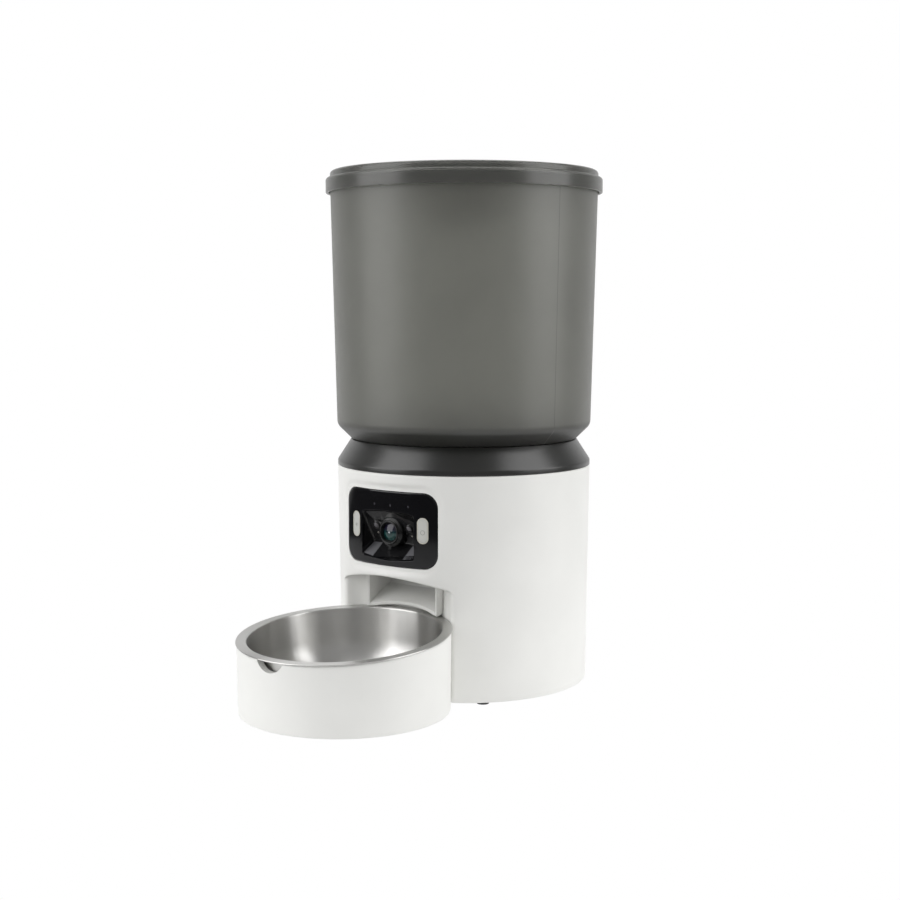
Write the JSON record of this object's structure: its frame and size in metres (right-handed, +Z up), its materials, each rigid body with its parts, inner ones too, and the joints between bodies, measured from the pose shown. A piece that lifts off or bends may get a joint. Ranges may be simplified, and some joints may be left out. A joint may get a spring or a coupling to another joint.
{
  "type": "automatic pet feeder",
  "caption": "Free-standing automatic pet feeder: round white base with camera panel and food chute, smoked lift-off hopper and lid, and a slide-out stand with a tilted steel bowl.",
  "frame": {"origin": "middle of the footprint, on the surface it stands on", "axes": "+Z up, -Y towards the bowl and the pet, +X to the right seen along +Y"},
  "size_m": [0.2056, 0.3141, 0.383],
  "materials": {
    "white_plastic": "fine moulded satin",
    "stand_plastic": "fine moulded satin",
    "smoke_plastic": "smoked, moulded semi-gloss",
    "neck_plastic": "dark smoked semi-gloss",
    "panel_black": "polished black",
    "pocket_black": "semi-gloss black",
    "diffuser": "milky translucent",
    "led_resin": "dark resin",
    "barrel_black": "satin black",
    "lens_glass": "coated glass",
    "bowl_steel": "spun and brushed",
    "zinc_steel": "zinc plated",
    "foot_rubber": "matte",
    "wiper_rubber": "matte silicone",
    "seal_silicone": "translucent silicone",
    "inner_plastic": "moulded",
    "rotor_plastic": "moulded",
    "gear_nylon": "nylon",
    "brass": "machined",
    "circuit_board": "solder resist",
    "component_black": "moulded",
    "motor_metal": "drawn can",
    "cell_wrap": "shrink sleeve"
  },
  "bodies": {
    "base": {"main_shell": "white_plastic", "neck_ring": "neck_plastic", "bottom_cover": "white_plastic", "chute": "white_plastic", "base_feet": "foot_rubber", "case_screws": "zinc_steel", "front_panel": "panel_black", "side_windows": "diffuser", "indicator_lights": "led_resin", "camera_pocket": "pocket_black", "infrared_leds": "led_resin", "camera_barrel": "barrel_black", "lens_ring": "barrel_black", "camera_lens": "lens_glass", "camera_board": "circuit_board", "dispenser_chamber": "inner_plastic", "portion_plate": "inner_plastic", "shaft_bush": "brass", "chamber_screws": "zinc_steel", "gearbox_housing": "motor_metal", "motor_can": "motor_metal", "motor_terminals": "brass", "motor_bracket": "zinc_steel", "bracket_screws": "zinc_steel", "gearbox_screws": "zinc_steel", "battery_box": "inner_plastic", "battery_cells": "cell_wrap", "battery_contacts": "zinc_steel", "main_board": "circuit_board", "board_components": "component_black", "speaker": "component_black", "dc_jack": "component_black", "jack_pin": "zinc_steel", "button_switch": "component_black"},
    "rotor": {"rotor": "rotor_plastic", "rotor_wipers": "wiper_rubber", "agitator": "rotor_plastic", "drive_shaft": "zinc_steel", "drive_gear": "gear_nylon"},
    "pinion": {"motor_pinion": "brass", "gearbox_shaft": "zinc_steel"},
    "battery_door": {"battery_door": "white_plastic"},
    "feed_button": {"feed_button": "inner_plastic"},
    "hopper": {"hopper_shell": "smoke_plastic"},
    "lid": {"lid_shell": "smoke_plastic", "lid_seal": "seal_silicone", "desiccant_basket": "inner_plastic"},
    "desiccant_cap": {"desiccant_cap": "inner_plastic"},
    "stand": {"stand_shell": "stand_plastic", "stand_feet": "foot_rubber"},
    "bowl": {"bowl": "bowl_steel"}
  },
  "joints": [
    {"name": "hopper_lift", "type": "slide", "parent": "base", "child": "hopper", "axis": [0, 0, 1], "range_m": [0, 0.12]},
    {"name": "lid_lift", "type": "slide", "parent": "hopper", "child": "lid", "axis": [0, 0, 1], "range_m": [0, 0.08]},
    {"name": "desiccant_cap_twist", "type": "hinge", "parent": "lid", "child": "desiccant_cap", "pos_m": [0, 0.05431, 0.348], "axis": [0, 0, 1], "range_deg": [0, 40]},
    {"name": "stand_slide", "type": "slide", "parent": "base", "child": "stand", "axis": [0, -1, 0], "range_m": [0, 0.16]},
    {"name": "bowl_turn", "type": "hinge", "parent": "stand", "child": "bowl", "pos_m": [0, -0.08209, 0.0584], "axis": [0, -0.075, 0.9972], "continuous": true},
    {"name": "rotor_turn", "type": "hinge", "parent": "base", "child": "rotor", "pos_m": [0, 0.05431, 0.12], "axis": [0, 0, 1], "continuous": true},
    {"name": "pinion_turn", "type": "hinge", "parent": "base", "child": "pinion", "pos_m": [0, 0.09431, 0.1], "axis": [0, 0, 1], "continuous": true},
    {"name": "feed_button_press", "type": "slide", "parent": "base", "child": "feed_button", "axis": [0, -1, 0], "range_m": [0, 0.0015], "stiffness_N_per_m": 400, "springref_m": -0.0005},
    {"name": "battery_door_swing", "type": "hinge", "parent": "base", "child": "battery_door", "pos_m": [0, 0.07031, 0.0053], "axis": [1, 0, 0], "range_deg": [0, 85]}
  ],
  "couplings": [
    {"joint": "pinion_turn", "follows": "rotor_turn", "ratio": -3}
  ]
}
